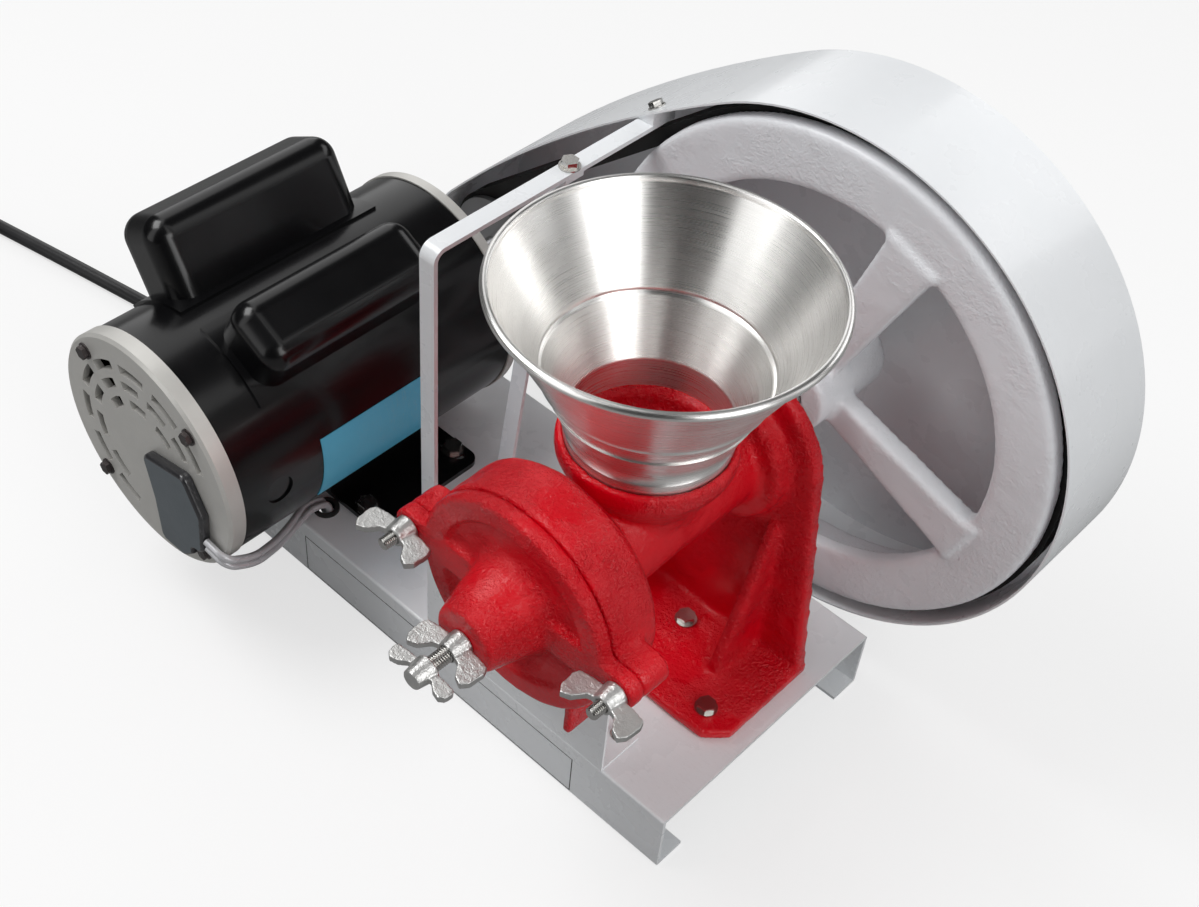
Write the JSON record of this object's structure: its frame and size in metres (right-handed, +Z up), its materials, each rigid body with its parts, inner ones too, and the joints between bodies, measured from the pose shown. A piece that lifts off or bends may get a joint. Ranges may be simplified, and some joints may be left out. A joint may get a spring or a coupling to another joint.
{
  "type": "electric grain mill",
  "caption": "Belt-driven electric grain mill: red cast plate mill with steel hopper, black motor, guarded flywheel and white folded sheet base.",
  "frame": {"origin": "on the floor at the centre of the machine's bounding box, measured without the free cord, its coil and plug", "axes": "+X along the base from the motor to the mill, +Y from the mill's cover to the flywheel, +Z up"},
  "size_m": [1.0206, 0.4516, 0.3869],
  "materials": {
    "white_paint": "glossy powder coat",
    "cast_white": "painted casting",
    "red_casting": "gloss enamel over sand casting",
    "steel_hopper": "spun, satin",
    "black_paint": "gloss",
    "die_cast": "die cast, satin",
    "dark_cover": "gloss",
    "plate_blue": "satin print, bare of text",
    "belt_rubber": "matte",
    "pulley_iron": "turned",
    "core_steel": "laminated",
    "copper_winding": "varnished",
    "fan_plastic": "matte",
    "bright_steel": "ground",
    "bronze": "turned",
    "grinding_iron": "as cast",
    "capacitor_can": "drawn",
    "zinc_cast": "as cast",
    "zinc_steel": "zinc plated",
    "dark_bolt": "blackened",
    "lead_sleeve": "satin sleeve",
    "grommet_rubber": "matte",
    "cord_black": "satin"
  },
  "bodies": {
    "frame": {"base_channel": "white_paint", "flour_shield": "white_paint", "belt_guard": "white_paint", "guard_bracket": "white_paint", "guard_frame_bar": "white_paint", "guard_rear_leg": "white_paint", "mill_body": "red_casting", "mill_cover": "red_casting", "motor_shell": "black_paint", "run_capacitor_cover": "black_paint", "start_capacitor_cover": "black_paint", "motor_foot": "black_paint", "front_end_shield": "die_cast", "rear_end_shield": "die_cast", "terminal_cover": "dark_cover", "motor_nameplate": "plate_blue", "drive_belt": "belt_rubber", "stator_core": "core_steel", "stator_winding": "copper_winding", "motor_bearing_front": "bright_steel", "motor_bearing_rear": "bright_steel", "mill_bush": "bronze", "fixed_grinding_disc": "grinding_iron", "run_capacitor": "capacitor_can", "start_capacitor": "capacitor_can", "cover_stud_left": "zinc_steel", "cover_stud_right": "zinc_steel", "motor_leads": "lead_sleeve", "lead_grommet": "grommet_rubber", "cable_box": "cord_black", "power_cord": "cord_black", "power_cord_coil": "cord_black", "power_plug": "cord_black", "shield_screw": "zinc_steel", "frame_bolt": "zinc_steel", "guard_screw": "zinc_steel", "motor_foot_bolt_1": "zinc_steel", "motor_foot_bolt_2": "zinc_steel", "motor_foot_bolt_3": "zinc_steel", "motor_foot_bolt_4": "zinc_steel", "mill_stand_bolt_1": "zinc_steel", "mill_stand_bolt_2": "zinc_steel", "mill_stand_bolt_3": "zinc_steel", "motor_through_bolt_1": "dark_bolt", "motor_through_bolt_2": "dark_bolt", "motor_through_bolt_3": "dark_bolt", "motor_through_bolt_4": "dark_bolt"},
    "mill_rotor": {"mill_shaft": "bright_steel", "feed_auger": "grinding_iron", "turning_grinding_disc": "grinding_iron", "flywheel": "cast_white"},
    "motor_rotor_body": {"motor_rotor": "core_steel", "motor_shaft": "bright_steel", "cooling_fan": "fan_plastic", "motor_pulley": "pulley_iron"},
    "nut_left": {"wing_nut_left": "zinc_cast"},
    "nut_right": {"wing_nut_right": "zinc_cast"},
    "nut_lock": {"lock_wing_nut": "zinc_cast"},
    "screw": {"adjusting_screw": "zinc_cast"},
    "hopper_body": {"hopper": "steel_hopper"}
  },
  "joints": [
    {"name": "mill_spin", "type": "hinge", "parent": "frame", "child": "mill_rotor", "pos_m": [0.0955, -0.093, 0.206], "axis": [0, 1, 0], "continuous": true},
    {"name": "motor_spin", "type": "hinge", "parent": "frame", "child": "motor_rotor_body", "pos_m": [-0.1875, -0.093, 0.138], "axis": [0, 1, 0], "continuous": true},
    {"name": "nut_left_turn", "type": "hinge", "parent": "frame", "child": "nut_left", "pos_m": [0.0165, -0.093, 0.206], "axis": [0, 1, 0], "range_deg": [-180, 180]},
    {"name": "nut_right_turn", "type": "hinge", "parent": "frame", "child": "nut_right", "pos_m": [0.1745, -0.093, 0.206], "axis": [0, 1, 0], "range_deg": [-180, 180]},
    {"name": "nut_lock_turn", "type": "hinge", "parent": "frame", "child": "nut_lock", "pos_m": [0.0955, -0.093, 0.206], "axis": [0, 1, 0], "range_deg": [-180, 180]},
    {"name": "screw_turn", "type": "hinge", "parent": "frame", "child": "screw", "pos_m": [0.0955, -0.093, 0.206], "axis": [0, 1, 0], "range_deg": [-180, 180]},
    {"name": "hopper_lift", "type": "slide", "parent": "frame", "child": "hopper_body", "axis": [0, 0, 1], "range_m": [0, 0.12]}
  ],
  "couplings": [
    {"joint": "motor_spin", "follows": "mill_spin", "ratio": 4.5}
  ]
}
